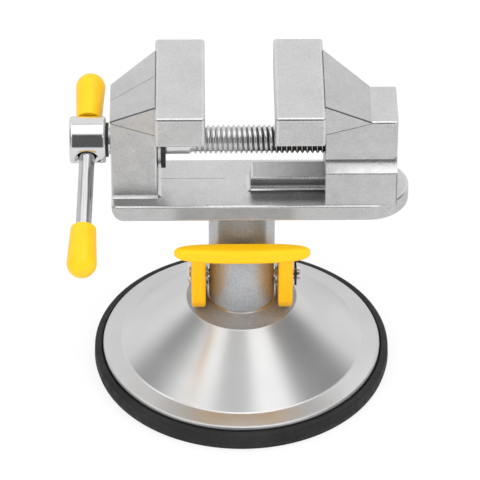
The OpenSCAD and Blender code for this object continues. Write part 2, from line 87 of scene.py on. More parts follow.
def math_node(nodes, links, operation, *inputs):
    node = add_node(nodes, "ShaderNodeMath", operation=operation)
    for socket, value in zip(node.inputs, inputs):
        if isinstance(value, (int, float)):
            socket.default_value = value
        else:
            links.new(value, socket)
    return node.outputs[0]


def split(nodes, links, vector):
    """The X, Y and Z of a vector."""
    node = add_node(nodes, "ShaderNodeSeparateXYZ")
    links.new(vector, node.inputs[0])
    return node.outputs


def ranged(nodes, links, value, low, high, to_low, to_high):
    """Carries a value from the range low to high over to another range, with soft ends."""
    node = add_node(nodes, "ShaderNodeMapRange", interpolation_type="SMOOTHSTEP")
    links.new(value, node.inputs["Value"])
    for name, number in (("From Min", low), ("From Max", high), ("To Min", to_low), ("To Max", to_high)):
        node.inputs[name].default_value = number
    return node.outputs["Result"]


def window(nodes, links, value, low, high, edge):
    """1 between low and high, 0 outside, with soft edges."""
    rise = ranged(nodes, links, value, low - edge, low + edge, 0, 1)
    fall = ranged(nodes, links, value, high - edge, high + edge, 1, 0)
    return math_node(nodes, links, "MULTIPLY", rise, fall)


def tinted(nodes, links, fac, low, high, from_low=0.3, from_high=0.7):
    """Blends from the colour low to the colour high; noise lies mostly between 0.3 and 0.7."""
    node = add_node(nodes, "ShaderNodeValToRGB")
    node.color_ramp.elements[0].position = from_low
    node.color_ramp.elements[0].color = (*low, 1)
    node.color_ramp.elements[1].position = from_high
    node.color_ramp.elements[1].color = (*high, 1)
    links.new(fac, node.inputs["Fac"])
    return node.outputs["Color"]


world = bpy.data.worlds.new("studio")
scene.world = world
nodes, links = tree_of(world)
way = add_node(nodes, "ShaderNodeTexCoord")
axes = split(nodes, links, way.outputs["Generated"])
behind = ranged(nodes, links, axes["Y"], 0.22, 0.60, 0.28, 0.86)
before = ranged(nodes, links, axes["Y"], -0.75, -0.30, 0.56, 0.28)
room = math_node(nodes, links, "MAXIMUM", behind, before)
dark_gap = math_node(nodes, links, "MULTIPLY", window(nodes, links, axes["X"], -0.25, 0.25, 0.07),
                     ranged(nodes, links, axes["Y"], -0.25, -0.05, 1, 0))
room = math_node(nodes, links, "MULTIPLY", room, ranged(nodes, links, dark_gap, 0, 1, 1, 0.19))
panels = math_node(nodes, links, "ADD", window(nodes, links, axes["X"], -0.70, -0.29, 0.06),
                   window(nodes, links, axes["X"], 0.12, 0.54, 0.06))
panels = math_node(nodes, links, "MULTIPLY", panels, ranged(nodes, links, axes["Z"], 0.64, 0.76, 0, 1.36))
above = ranged(nodes, links, axes["Z"], 0.82, 0.95, 0, 1.3)
crown = ranged(nodes, links, axes["Z"], 0.955, 0.99, 0, 1.7)
overhead = math_node(nodes, links, "MAXIMUM", math_node(nodes, links, "MAXIMUM", panels, above), crown)
seen_in_metal = math_node(nodes, links, "MAXIMUM", room, overhead)
path = add_node(nodes, "ShaderNodeLightPath")
plain = add_node(nodes, "ShaderNodeMix", data_type="FLOAT")
plain.inputs["A"].default_value = 1.0
links.new(path.outputs["Is Glossy Ray"], plain.inputs["Factor"])
links.new(seen_in_metal, plain.inputs["B"])
white = add_node(nodes, "ShaderNodeMix", data_type="FLOAT")
white.inputs["B"].default_value = 1.0
links.new(path.outputs["Is Camera Ray"], white.inputs["Factor"])
links.new(plain.outputs[0], white.inputs["A"])
background = add_node(nodes, "ShaderNodeBackground")
background.inputs["Color"].default_value = (1, 1, 1, 1)
links.new(white.outputs[0], background.inputs["Strength"])
sky = add_node(nodes, "ShaderNodeOutputWorld")
links.new(background.outputs[0], sky.inputs["Surface"])


VISE_MIDDLE = Vector((0, 0, 0.06))


def softbox(name, place, size, power):
    """A square lamp that points at the vise; metal doesn't mirror it."""
    lamp = bpy.data.lights.new(name, "AREA")
    lamp.shape = "SQUARE"
    lamp.size = size
    lamp.energy = power
    rig = bpy.data.objects.new(name, lamp)
    rig.location = place
    rig.rotation_euler = (VISE_MIDDLE - Vector(place)).to_track_quat("-Z", "Y").to_euler()
    rig.visible_glossy = False
    scene.collection.objects.link(rig)


softbox("lamp_over", (0.25, -0.2, 1.1), 0.8, 4)
softbox("lamp_front", (-0.5, -0.9, 0.9), 0.6, 4)


# Floor: a plain sheet of white paper. The camera sees it nearly white, with the object's shadow on it,
# and bright metal sees it a little darker.
bpy.ops.object.select_all(action="DESELECT")
bpy.ops.mesh.primitive_plane_add(size=8, location=(0, 0, -0.0001))
floor = bpy.context.object
floor.name = "floor"
paper = bpy.data.materials.new("paper")
nodes, links = tree_of(paper)
path = add_node(nodes, "ShaderNodeLightPath")
share = math_node(nodes, links, "ADD", math_node(nodes, links, "MULTIPLY", path.outputs["Is Camera Ray"], 0.8),
                  math_node(nodes, links, "MULTIPLY", path.outputs["Is Glossy Ray"], 0.25))
dull = add_node(nodes, "ShaderNodeBsdfDiffuse")
links.new(tinted(nodes, links, path.outputs["Is Glossy Ray"], (0.9, 0.9, 0.9), (0.60, 0.60, 0.60), 0, 1),
          dull.inputs["Color"])
glow = add_node(nodes, "ShaderNodeEmission")
glow.inputs["Color"].default_value = (1, 1, 1, 1)
links.new(ranged(nodes, links, path.outputs["Is Glossy Ray"], 0, 1, 1, 0.8), glow.inputs["Strength"])
blend = add_node(nodes, "ShaderNodeMixShader")
links.new(share, blend.inputs[0])
links.new(dull.outputs[0], blend.inputs[1])
links.new(glow.outputs[0], blend.inputs[2])
sheet = add_node(nodes, "ShaderNodeOutputMaterial")
links.new(blend.outputs[0], sheet.inputs["Surface"])
floor.data.materials.append(paper)


# Suction cup: one moulded black rubber disc. Its lip stands round the metal rim and holds it,
# and a grooved ring under its edge seals on the bench.
def eased(corners):
    """Points of an outline from corners (radius, height, rounding), all in millimetres."""
    points = []
    for i, (x, z, r) in enumerate(corners):
        here = Vector((x, z))
        if r == 0:
            points.append(here)
            continue
        before = Vector(corners[i - 1][:2]) - here
        after = Vector(corners[(i + 1) % len(corners)][:2]) - here
        half = before.angle(after) / 2
        reach = min(r / math.tan(half), before.length * 0.49, after.length * 0.49)
        start = here + before.normalized() * reach
        end = here + after.normalized() * reach
        steps = 5
        for k in range(steps + 1):
            t = k / steps
            points.append(start * (1 - t) ** 2 + here * 2 * t * (1 - t) + end * t ** 2)
    return points


def only(piece):
    """Selects this piece alone and makes it the active one."""
    bpy.ops.object.select_all(action="DESELECT")
    piece.select_set(True)
    bpy.context.view_layer.objects.active = piece


def smooth(piece, angle=35):
    """Smooth shading, except over edges that are sharper than the angle."""
    only(piece)
    bpy.ops.object.shade_smooth_by_angle(angle=math.radians(angle))


def outwards():
    """Turns every face of the piece in hand outwards and leaves edit mode."""
    bpy.ops.mesh.select_all(action="SELECT")
    bpy.ops.mesh.normals_make_consistent(inside=False)
    bpy.ops.object.mode_set(mode="OBJECT")


def traced(name, spots, closed=True):
    """A line through the spots, in millimetres, grown spot by spot from one corner of a plane. Stays in edit mode."""
    bpy.ops.object.select_all(action="DESELECT")
    bpy.ops.mesh.primitive_plane_add(size=2 * MM)
    piece = bpy.context.object
    piece.name = name
    spots = [Vector(spot) * MM for spot in spots]
    bpy.ops.object.mode_set(mode="EDIT")
    bpy.ops.mesh.merge(type="CENTER")
    bpy.ops.transform.translate(value=spots[0])
    for here, there in zip(spots, spots[1:] + spots[:closed]):
        bpy.ops.mesh.extrude_region_move(TRANSFORM_OT_translate={"value": there - here})
    bpy.ops.mesh.select_all(action="SELECT")
    bpy.ops.mesh.remove_doubles(threshold=0.000001)
    return piece


def turned(name, corners, steps=160):
    """A piece turned about the Z axis from an outline in millimetres."""
    piece = traced(name, [(p.x, 0, p.y) for p in eased(corners)])
    bpy.ops.mesh.spin(steps=steps, angle=2 * math.pi, center=(0, 0, 0), axis=(0, 0, 1))
    bpy.ops.mesh.select_all(action="SELECT")
    bpy.ops.mesh.remove_doubles(threshold=0.000002)
    bpy.ops.mesh.delete_loose()
    outwards()
    smooth(piece)
    return piece


CUP_R = 60
CUP_T = 4.15
LIP_TOP = 7.8
LIP_IN = 56.62
SEAL_H = 0.8
cup = turned("rubber_cup", [
    (0, CUP_T, 0), (0, 0, 0), (48.6, 0, 0.5), (49.2, SEAL_H, 0.4), (50.8, SEAL_H, 0.4), (51.4, 0, 0.5),
    (59.2, 0, 1.2), (CUP_R, 3.0, 1.5), (59.8, LIP_TOP, 1.3), (57.2, LIP_TOP, 0.7), (LIP_IN, 6.6, 0.5),
    (LIP_IN, CUP_T, 0),
])


def material(name, colour, metallic, roughness):
    """A new material: its nodes, its links, its shader and the object coordinates."""
    made = bpy.data.materials.new(name)
    nodes, links = tree_of(made)
    shader = add_node(nodes, "ShaderNodeBsdfPrincipled")
    shader.inputs["Base Color"].default_value = (*colour, 1)
    shader.inputs["Metallic"].default_value = metallic
    shader.inputs["Roughness"].default_value = roughness
    out = add_node(nodes, "ShaderNodeOutputMaterial")
    links.new(shader.outputs[0], out.inputs["Surface"])
    place = add_node(nodes, "ShaderNodeTexCoord").outputs["Object"]
    return made, nodes, links, shader, place


def noise(nodes, links, place, scale, detail=3, roughness=0.5):
    node = add_node(nodes, "ShaderNodeTexNoise")
    links.new(place, node.inputs["Vector"])
    node.inputs["Scale"].default_value = scale
    node.inputs["Detail"].default_value = detail
    node.inputs["Roughness"].default_value = roughness
    return node.outputs["Fac"]


def bumped(nodes, links, height, strength, distance, under=None):
    """Relief of a surface, laid over the relief under it if there is one."""
    node = add_node(nodes, "ShaderNodeBump")
    node.inputs["Strength"].default_value = strength
    node.inputs["Distance"].default_value = distance
    links.new(height, node.inputs["Height"])
    if under is not None:
        links.new(under, node.inputs["Normal"])
    return node.outputs["Normal"]


def varied(nodes, links, shader, place, tint=None, gloss=None, relief=None):
    """Varies a finish. Each of the three is a noise's scale and detail, and then two colours for the tint, two
    roughnesses for the gloss, or a strength and a depth for the relief."""
    if tint:
        mottled = tinted(nodes, links, noise(nodes, links, place, *tint[:2]), *tint[2:])
        links.new(mottled, shader.inputs["Base Color"])
    if gloss:
        patchy = ranged(nodes, links, noise(nodes, links, place, *gloss[:2]), 0.3, 0.7, *gloss[2:])
        links.new(patchy, shader.inputs["Roughness"])
    if relief:
        links.new(bumped(nodes, links, noise(nodes, links, place, *relief[:2]), *relief[2:]), shader.inputs["Normal"])


def wear(piece, made, node, body, slot, *more):
    """Finishes a piece and puts it in a CAD node's place. Its faces keep the numbers of their finishes."""
    finishes = [face.material_index for face in piece.data.polygons]
    piece.data.materials.clear()
    for finish in (made, *more):
        piece.data.materials.append(finish)
    piece.data.polygons.foreach_set("material_index", finishes)
    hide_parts(node)
    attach(piece, body)


rubber, nodes, links, shader, place = material("black_rubber", (0.02, 0.02, 0.021), 0, 0.6)
varied(nodes, links, shader, place, tint=(60, 5, (0.010, 0.010, 0.0105), (0.022, 0.022, 0.0225)),
       gloss=(300, 2, 0.50, 0.68))
skin = noise(nodes, links, place, 1800, 3, 0.6)
links.new(bumped(nodes, links, skin, 0.35, 0.0001), shader.inputs["Normal"])
shader.inputs["Specular IOR Level"].default_value = 0.28
wear(cup, rubber, "suction_cup", "base", "black_rubber")


# Base shell: one metal shell, turned all over. Rim, flat flange, long cone and a shoulder at the column,
# with the fine rings of the lathe round the axis and a small easing on every arris.
NECK_Z = 24.4
NECK_IN = 11.55
NECK_OUT = 15.5
RIM_Z = 4.2
RIM_R = 56.5
COLUMN_R = 13.2
shell = turned("spun_shell", [
    (NECK_IN, 33.3, 0), (NECK_IN, NECK_Z, 0), (NECK_OUT, NECK_Z, 0.3), (NECK_OUT, 27.6, 0.3), (22.5, 27.6, 1),
    (45.4, 8.8, 1), (45.4, RIM_Z, 0), (RIM_R, RIM_Z, 0.3), (RIM_R, 8.9, 1.3), (49.0, 9.95, 0.7), (48.4, 10.25, 0.6),
    (22.7, 31.2, 1.0), (22.2, 31.55, 0.7), (14.2, 33.2, 0), (13.9, 33.5, 0.2), (COLUMN_R, 33.6, 0.1),
], steps=224)


def turned_metal(name, grey, smooth_at, rough_at, brushed):
    """Bright turned metal; brushed is how far the lathe's lines draw a highlight out across them."""
    made, nodes, links, shader, place = material(name, (grey,) * 3, 1, rough_at)
    parts = split(nodes, links, place)
    squares = (math_node(nodes, links, "MULTIPLY", parts[way], parts[way]) for way in "XY")
    radius = math_node(nodes, links, "SQRT", math_node(nodes, links, "ADD", *squares))
    across = math_node(nodes, links, "SUBTRACT", radius, parts["Z"])
    rings = add_node(nodes, "ShaderNodeTexNoise", noise_dimensions="1D")
    links.new(across, rings.inputs["W"])
    rings.inputs["Scale"].default_value = 2600
    rings.inputs["Detail"].default_value = 4
    links.new(ranged(nodes, links, rings.outputs["Fac"], 0.3, 0.7, smooth_at, rough_at), shader.inputs["Roughness"])
    varied(nodes, links, shader, place, tint=(45, 4, (grey - 0.04,) * 3, (grey + 0.04,) * 3))
    grain = noise(nodes, links, place, 2400, 3, 0.6)
    low = bumped(nodes, links, rings.outputs["Fac"], 0.003, 0.0001)
    links.new(bumped(nodes, links, grain, 0.06, 0.0001, low), shader.inputs["Normal"])
    round_axis = add_node(nodes, "ShaderNodeVectorMath", operation="CROSS_PRODUCT")
    round_axis.inputs[0].default_value = (0, 0, 1)
    links.new(place, round_axis.inputs[1])
    along_ring = add_node(nodes, "ShaderNodeVectorMath", operation="NORMALIZE")
    links.new(round_axis.outputs[0], along_ring.inputs[0])
    links.new(along_ring.outputs[0], shader.inputs["Tangent"])
    shader.inputs["Anisotropic"].default_value = brushed
    shader.inputs["Anisotropic Rotation"].default_value = 0.25
    return made


def scaled(nodes, links, shader, colour, share):
    """The base colour: a colour that is darker where its share is below 1."""
    darker = add_node(nodes, "ShaderNodeVectorMath", operation="SCALE")
    links.new(colour, darker.inputs[0])
    links.new(share, darker.inputs["Scale"])
    links.new(darker.outputs[0], shader.inputs["Base Color"])


# Painted shade on the column's upper end, above the lever and under the head: half its width across, and the heights
# over which it sets in, in millimetres.
COLUMN_SHADE_HALF = 9.5
COLUMN_SHADE_FROM, COLUMN_SHADE_TO = 56, 61


def blasted_metal(name, grey, column_shade_level=1):
    """Blasted metal. The last argument is how bright it stays in a patch of painted shade on the column's upper end,
    above the lever and under the head.
    """
    made, nodes, links, shader, place = material(name, (grey,) * 3, 0.65, 0.5)
    clouds = tinted(nodes, links, noise(nodes, links, place, 70, 4),
                    (grey * 0.88, grey * 0.91, grey * 0.95), (grey * 1.08, grey * 1.11, grey * 1.15))
    speck_and_shade = ranged(nodes, links, noise(nodes, links, place, 1200, 3, 0.7), 0.30, 0.70, 0.80, 1.02)
    parts = split(nodes, links, place)
    # The fine speck is darkened in a patch of painted shade.
    column_shade_patch = math_node(nodes, links, "MULTIPLY",
                      window(nodes, links, parts["X"], -COLUMN_SHADE_HALF * MM, COLUMN_SHADE_HALF * MM, 0.0012),
                      ranged(nodes, links, parts["Z"], COLUMN_SHADE_FROM * MM, COLUMN_SHADE_TO * MM, 0, 1))
    speck_and_shade = math_node(nodes, links, "MULTIPLY", speck_and_shade, ranged(nodes, links, column_shade_patch, 0, 1, 1, column_shade_level))
    scaled(nodes, links, shader, clouds, speck_and_shade)
    varied(nodes, links, shader, place, gloss=(900, 2, 0.38, 0.50))
    links.new(bumped(nodes, links, noise(nodes, links, place, 1300, 4, 0.65), 0.6, 0.0003), shader.inputs["Normal"])
    return made


spun = turned_metal("spun_aluminium", 0.73, 0.28, 0.30, 0.6)
faced = turned_metal("faced_aluminium", 0.66, 0.33, 0.35, 0)
blasted = blasted_metal("blasted_aluminium", 0.41)
FLANGE_FROM = 48.9
SHOULDER_FROM, SHOULDER_TO = 14.25, 22.35
for face in shell.data.polygons:
    reach = face.center.xy.length / MM
    face.material_index = 1 if reach > FLANGE_FROM else 2 if SHOULDER_FROM < reach < SHOULDER_TO else 0
wear(shell, spun, "base_shell", "base", "spun_aluminium", faced, blasted)


# Column: a cast tube, blasted, that stands in the shell's neck. It is slotted on each side for the cross
# pin and closed at its top by a web that the head's bolt goes through.
def extruded(name, outline, axis, start, end):
    """A prism from an outline in millimetres, drawn in the plane across the axis, from start to end."""
    place = {"X": lambda p: (start, *p), "Y": lambda p: (p[0], start, p[1]), "Z": lambda p: (*p, start)}[axis]
    step = {"X": (end - start, 0, 0), "Y": (0, end - start, 0), "Z": (0, 0, end - start)}[axis]
    piece = traced(name, [place(p) for p in outline])
    bpy.ops.mesh.edge_face_add()
    bpy.ops.mesh.extrude_region_move(TRANSFORM_OT_translate={"value": Vector(step) * MM})
    outwards()
    return piece


def combine(piece, other, how):
    """Adds the other piece to this one, or cuts it away, and deletes it."""
    step = piece.modifiers.new("step", "BOOLEAN")
    step.operation = how
    step.solver = "EXACT"
    step.object = other
    only(piece)
    bpy.ops.object.modifier_apply(modifier="step")
    bpy.data.objects.remove(other)


def arc(cx, cy, r, start, end, steps):
    """Points of an arc between two angles in degrees."""
    turn = [math.radians(start + (end - start) * k / steps) for k in range(steps + 1)]
    return [(cx + r * math.cos(a), cy + r * math.sin(a)) for a in turn]


PIN_Z = (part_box("cross_pin")[0][2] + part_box("cross_pin")[1][2]) / 2 / MM
SLOT_R = 2.6
CUP_LIFT = 7
TUBE_IN = 9.5
COLUMN_TOP = 80.5
TUBE_TOP = 70
BOLT_WAY_R = 4.1
column = turned("column_tube", [
    (TUBE_IN, NECK_Z, 0), (11.5, NECK_Z, 0.3), (11.5, 33.4, 0), (COLUMN_R, 33.45, 0.2), (COLUMN_R, COLUMN_TOP, 0.9),
    (BOLT_WAY_R, COLUMN_TOP, 0.2), (BOLT_WAY_R, TUBE_TOP, 0), (TUBE_IN, TUBE_TOP, 0),
], steps=128)
slot_plan = arc(0, PIN_Z + CUP_LIFT, SLOT_R, 0, 180, 16) + arc(0, PIN_Z, SLOT_R, 180, 360, 16)
combine(column, extruded("slot_hole", slot_plan, "X", -20, 20), "DIFFERENCE")
smooth(column, 30)
# Painted shade darkens the column's upper end above the lever, under the head, to half its brightness.
cast_tube = blasted_metal("column_aluminium", 0.66, column_shade_level=0.5)
wear(column, cast_tube, "column", "base", "column_aluminium")


# Head: one die casting of plate, guide rail, pillar, web and fixed jaw, tumbled so that its edges are soft and
# bright, their lighter colour partly a painted highlight, and its faces have a faint cloudy grain with a few pits.
# Painted shade darkens it in some places.
PLATE_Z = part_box("head_casting")[0][2] / MM
PLATE_TOP = PLATE_Z + 7.1
# Painted shade on the rail sets in fully this far along X, in millimetres.
RAIL_SHADE_FULL = 34
# Painted shade lies on the plate's edges between these two places along X, in millimetres.
PLATE_SHADE_FROM, PLATE_SHADE_TO = -26, 21


def casting(name, dull_grey, light_grey, smooth_at, rough_at, relief, rail_shade_level=1, plate_shade_level=1):
    """A cast skin. Of its last two arguments, the first is how bright it stays in painted shade towards the rail's far
    end, under the moving jaw and the spindle, and the second the same for painted shade on the plate's edges below the
    open jaws."""
    made, nodes, links, shader, place = material(name, (light_grey,) * 3, 1, rough_at)
    clouds = tinted(nodes, links, noise(nodes, links, place, 60, 6, 0.6), (dull_grey,) * 3, (light_grey,) * 3)
    speck_and_shade = ranged(nodes, links, noise(nodes, links, place, 1500, 3, 0.7), 0.30, 0.70, 0.86, 1.0)
    parts = split(nodes, links, place)
    # Painted shade darkens the rail towards its far end, under the moving jaw and the spindle.
    rail_shade = ranged(nodes, links, parts["X"], 0, RAIL_SHADE_FULL * MM, 1, rail_shade_level)
    speck_and_shade = math_node(nodes, links, "MULTIPLY", speck_and_shade, rail_shade)
    # Painted shade darkens the plate's edges below the open jaws.
    plate_shade = math_node(nodes, links, "MULTIPLY",
                     window(nodes, links, parts["X"], PLATE_SHADE_FROM * MM, PLATE_SHADE_TO * MM, 0.005),
                     window(nodes, links, parts["Z"], (PLATE_Z - 1) * MM, (PLATE_TOP - 0.6) * MM, 0.0005))
    speck_and_shade = math_node(nodes, links, "MULTIPLY", speck_and_shade, ranged(nodes, links, plate_shade, 0, 1, 1, plate_shade_level))
    scaled(nodes, links, shader, clouds, speck_and_shade)
    varied(nodes, links, shader, place, gloss=(260, 3, smooth_at, rough_at))
    stretch = add_node(nodes, "ShaderNodeMapping")
    stretch.inputs["Rotation"].default_value = (0, 0, math.radians(35))
    stretch.inputs["Scale"].default_value = (1, 0.12, 1)
    links.new(place, stretch.inputs["Vector"])
    scratches = ranged(nodes, links, noise(nodes, links, stretch.outputs[0], 1500, 3, 0.6), 0.62, 0.72, 1, 0)
    pits = ranged(nodes, links, noise(nodes, links, place, 380, 2), 0.69, 0.74, 1, 0)
    low = bumped(nodes, links, scratches, 0.12 * relief, 0.0001)
    low = bumped(nodes, links, noise(nodes, links, place, 900, 5, 0.7), 0.45 * relief, 0.0003, low)
    links.new(bumped(nodes, links, pits, 0.6 * relief, 0.0002, low), shader.inputs["Normal"])
    return made


# The plain cast finish carries the painted shade on the plate's edges.
cast = casting("cast_aluminium", 0.70, 0.78, 0.42, 0.54, 1, plate_shade_level=0.70)
# Rubbed edges are smoother and lighter. The lighter colour is partly a painted highlight, and in hollows and fillets
# it is only a painted highlight.
rubbed_and_highlight = casting("rubbed_highlight_aluminium", 0.80, 0.86, 0.24, 0.32, 0.12)
# The dark seam finish marks the scribed line and the parting line. It is painted shade under the web, on the rail's
# flanks, under the saddle's overhang and at the saddle's tail.
seam_and_shade = casting("seam_shade_aluminium", 0.24, 0.34, 0.40, 0.50, 1)
milled = casting("milled_aluminium", 0.72, 0.80, 0.27, 0.35, 0.35)
# The rail's top is smoother, and it is painted darker as painted shade under the spindle and the moving jaw, darkest
# towards its far end.
ridden_and_shaded = casting("ridden_shaded_aluminium", 0.56, 0.64, 0.16, 0.24, 0.35, rail_shade_level=0.40)
PLAIN, RUBBED_AND_HIGHLIGHT, SEAM_AND_SHADE, MILLED, RIDDEN_AND_SHADED = range(5)

JAW_LONG = 19.4
JAW_HALF = 27.5
TOP_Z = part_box("head_casting")[1][2] / MM
JAW_Z = TOP_Z - 13.4
BACK_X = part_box("head_casting")[0][0] / MM
END_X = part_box("head_casting")[1][0] / MM
SCREW_Z = (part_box("spindle_washer")[0][2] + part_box("spindle_washer")[1][2]) / 2 / MM
BORE_R = 5.83


def edit(piece):
    """Takes a piece into edit mode with all of it selected."""
    only(piece)
    bpy.ops.object.mode_set(mode="EDIT")
    bpy.ops.mesh.select_all(action="SELECT")


def block(name, low, high):
    """A cube stretched between two corners in millimetres, with its place in its mesh."""
    low, high = Vector(low), Vector(high)
    bpy.ops.object.select_all(action="DESELECT")
    bpy.ops.mesh.primitive_cube_add(size=1, location=(low + high) / 2 * MM, scale=(high - low) * MM)
    piece = bpy.context.object
    piece.name = name
    bpy.ops.object.transform_apply(location=True, rotation=True, scale=True)
    return piece


def pick_edges(piece, wanted):
    """Selects the sharp edges for which wanted(middle, direction) is true; stays in edit mode."""
    edit(piece)
    bpy.ops.mesh.select_mode(type="EDGE")
    bpy.ops.mesh.select_all(action="DESELECT")
    form = bmesh.from_edit_mesh(piece.data)
    for edge in form.edges:
        a, b = (v.co / MM for v in edge.verts)
        if len(edge.link_faces) == 2 and edge.calc_face_angle(0) > math.radians(20):
            edge.select_set(bool(wanted((a + b) / 2, (b - a).normalized())))
    form.select_flush_mode()
    bmesh.update_edit_mesh(piece.data)


def soften(piece, width, segments, wanted, finish=-1):
    """Rounds the edges that pick_edges finds. The new faces take the finish of that number, or at -1 stay as the
    faces beside them."""
    pick_edges(piece, wanted)
    bpy.ops.mesh.bevel(offset=width * MM, segments=segments, profile=0.5, affect="EDGES",
                       clamp_overlap=False, material=finish)
    bpy.ops.mesh.select_mode(type="VERT")
    bpy.ops.object.mode_set(mode="OBJECT")


def cleaned(piece):
    """Takes out the crumbs that cutting leaves: edges of no length and faces of no area."""
    edit(piece)
    bpy.ops.mesh.dissolve_degenerate(threshold=0.000004)
    bpy.ops.object.mode_set(mode="OBJECT")


def settle(piece, angle=30):
    """Smooth shading in which flat faces stay flat."""
    cleaned(piece)
    smooth(piece, angle)
    even = piece.modifiers.new("even", "WEIGHTED_NORMAL")
    even.keep_sharp = True
    even.weight = 80
    bpy.ops.object.modifier_apply(modifier="even")


def pick_points(piece, wanted):
    """Selects the points for which wanted(point) is true; stays in edit mode."""
    edit(piece)
    bpy.ops.mesh.select_all(action="DESELECT")
    form = bmesh.from_edit_mesh(piece.data)
    for v in form.verts:
        v.select_set(wanted(v.co / MM))
    form.select_flush_mode()
    bmesh.update_edit_mesh(piece.data)


def stocked(piece, finish=PLAIN):
    """Gives a part of a casting all the finishes of one, and its faces the one of that number."""
    for made in (cast, rubbed_and_highlight, seam_and_shade, milled, ridden_and_shaded):
        piece.data.materials.append(made)
    for face in piece.data.polygons:
        face.material_index = finish
    return piece


def mirrored(half):
    """A whole section from the half on one side of the middle."""
    return half + [(-y, z) for y, z in reversed(half)]


def jaw_block(name, x):
    """A jaw block, rounded on every edge."""
    piece = stocked(block(name, (x, -JAW_HALF, JAW_Z), (x + JAW_LONG, JAW_HALF, TOP_Z)))
    soften(piece, 1.2, 5, lambda m, d: True, RUBBED_AND_HIGHLIGHT)
    return piece


def wedge(name, near, far):
    """The web behind a jaw block. Each end is (x, width, low, high) in millimetres."""
    low_x, high_x = sorted((near[0], far[0]))
    piece = stocked(block(name, (low_x, -far[1] / 2, far[2]), (high_x, far[1] / 2, far[3])))
    pick_points(piece, lambda p: abs(p.x - near[0]) < 0.01)
    middle = (far[2] + far[3]) / 2
    bpy.ops.transform.resize(value=(1, near[1] / far[1], (near[3] - near[2]) / (far[3] - far[2])),
                             center_override=(near[0] * MM, 0, middle * MM))
    bpy.ops.transform.translate(value=(0, 0, ((near[2] + near[3]) / 2 - middle) * MM))
    bpy.ops.object.mode_set(mode="OBJECT")
    halfway = (near[2] + near[3] + far[2] + far[3]) / 4
    # The upper ridges get a narrow bevel in the dark seam finish. A strip along the lower edges takes it too, as
    # painted shade where the web overhangs what lies beneath it.
    soften(piece, 0.40, 1, lambda m, d: abs(d.x) > 0.3 and m.z > halfway, SEAM_AND_SHADE)
    edit(piece)
    lower = Vector((near[0] - far[0], 0, near[2] - far[2])).cross((0, 1, 0)).normalized()
    strip = Vector((far[0], 0, far[2] + 0.4))
    bpy.ops.mesh.bisect(plane_co=strip * MM, plane_no=lower)
    bpy.ops.object.mode_set(mode="OBJECT")
    for face in piece.data.polygons:
        if abs(face.normal.y) > 0.3 and face.normal.z < 0.3 and abs((face.center / MM - strip).dot(lower)) < 0.3:
            face.material_index = SEAM_AND_SHADE
    return piece


END_R = 16
CORNER_R = 2.4
HEEL_R = 6.2
plate_plan = (arc(END_X - END_R, 0, END_R, -90, 90, 40)
              + arc(BACK_X + CORNER_R, END_R - CORNER_R, CORNER_R, 90, 180, 12)
              + arc(BACK_X + CORNER_R, CORNER_R - END_R, CORNER_R, 180, 270, 12))
head = stocked(extruded("head_cast", plate_plan, "Z", PLATE_Z, PLATE_TOP))
for face in head.data.polygons:
    face.material_index = MILLED if face.normal.z > 0.9 else PLAIN


def arris(piece, width, top):
    """A shallow rubbed chamfer, eased at both sides, round a flat top; it leans enough to catch the light, and its
    lighter colour is partly a painted highlight.
    """
    soften(piece, width, 1, lambda m, d: m.z > top - 0.1, RUBBED_AND_HIGHLIGHT)
    pick_points(piece, lambda p: abs(p.z - top + width) < 0.01)
    bpy.ops.transform.translate(value=(0, 0, width / 4 * MM))
    bpy.ops.object.mode_set(mode="OBJECT")
    soften(piece, 0.2, 2, lambda m, d: m.z > top - width, RUBBED_AND_HIGHLIGHT)


arris(head, 0.85, PLATE_TOP)
soften(head, 0.8, 4, lambda m, d: m.z < PLATE_Z + 0.1, RUBBED_AND_HIGHLIGHT)
# The plate's end below the pillar is rounded from below.
heel = ([(BACK_X - 1, PLATE_Z + HEEL_R), (BACK_X - 1, PLATE_Z - 1), (BACK_X + HEEL_R, PLATE_Z - 1)]
        + arc(BACK_X + HEEL_R, PLATE_Z + HEEL_R, HEEL_R, 270, 180, 12))
combine(head, stocked(extruded("heel", heel, "Y", -END_R - 1, END_R + 1)), "DIFFERENCE")

RAIL_H = 6.6
RAIL_FROM, RAIL_TO = 3.4, 58.4
rail_half = [(8.1, -0.5), (7.1, 0)] + arc(7.1, 2.6, 2, 270, 143, 10) + [(5.9, RAIL_H)]
rail_section = mirrored([(y, PLATE_TOP + z) for y, z in rail_half])
rail = stocked(extruded("rail", rail_section, "X", RAIL_FROM, RAIL_TO))
# The rail's top takes the darker rail-top finish as painted shade. Faces that lean up take the lighter edge finish as
# a painted highlight, and the flanks take the dark seam finish as painted shade.
for face in rail.data.polygons:
    face.material_index = RIDDEN_AND_SHADED if face.normal.z > 0.9 else RUBBED_AND_HIGHLIGHT if face.normal.z > 0.25 else SEAM_AND_SHADE
arris(rail, 0.75, PLATE_TOP + RAIL_H)
combine(head, rail, "UNION")

# The rail's near end runs out into the plate in a hollow, in the lighter edge finish, which here is a painted
# highlight.
FLARE_R = 1.8
FLARE_X = 3.45
flare = [(-0.4, -0.3), (FLARE_R, -0.3)] + arc(FLARE_R, FLARE_R, FLARE_R, 270, 180, 8) + [(-0.4, FLARE_R)]
flare = [(FLARE_X - x, PLATE_TOP + z) for x, z in flare]
combine(head, stocked(extruded("flare", flare, "Y", -5.6, 5.6), RUBBED_AND_HIGHLIGHT), "UNION")

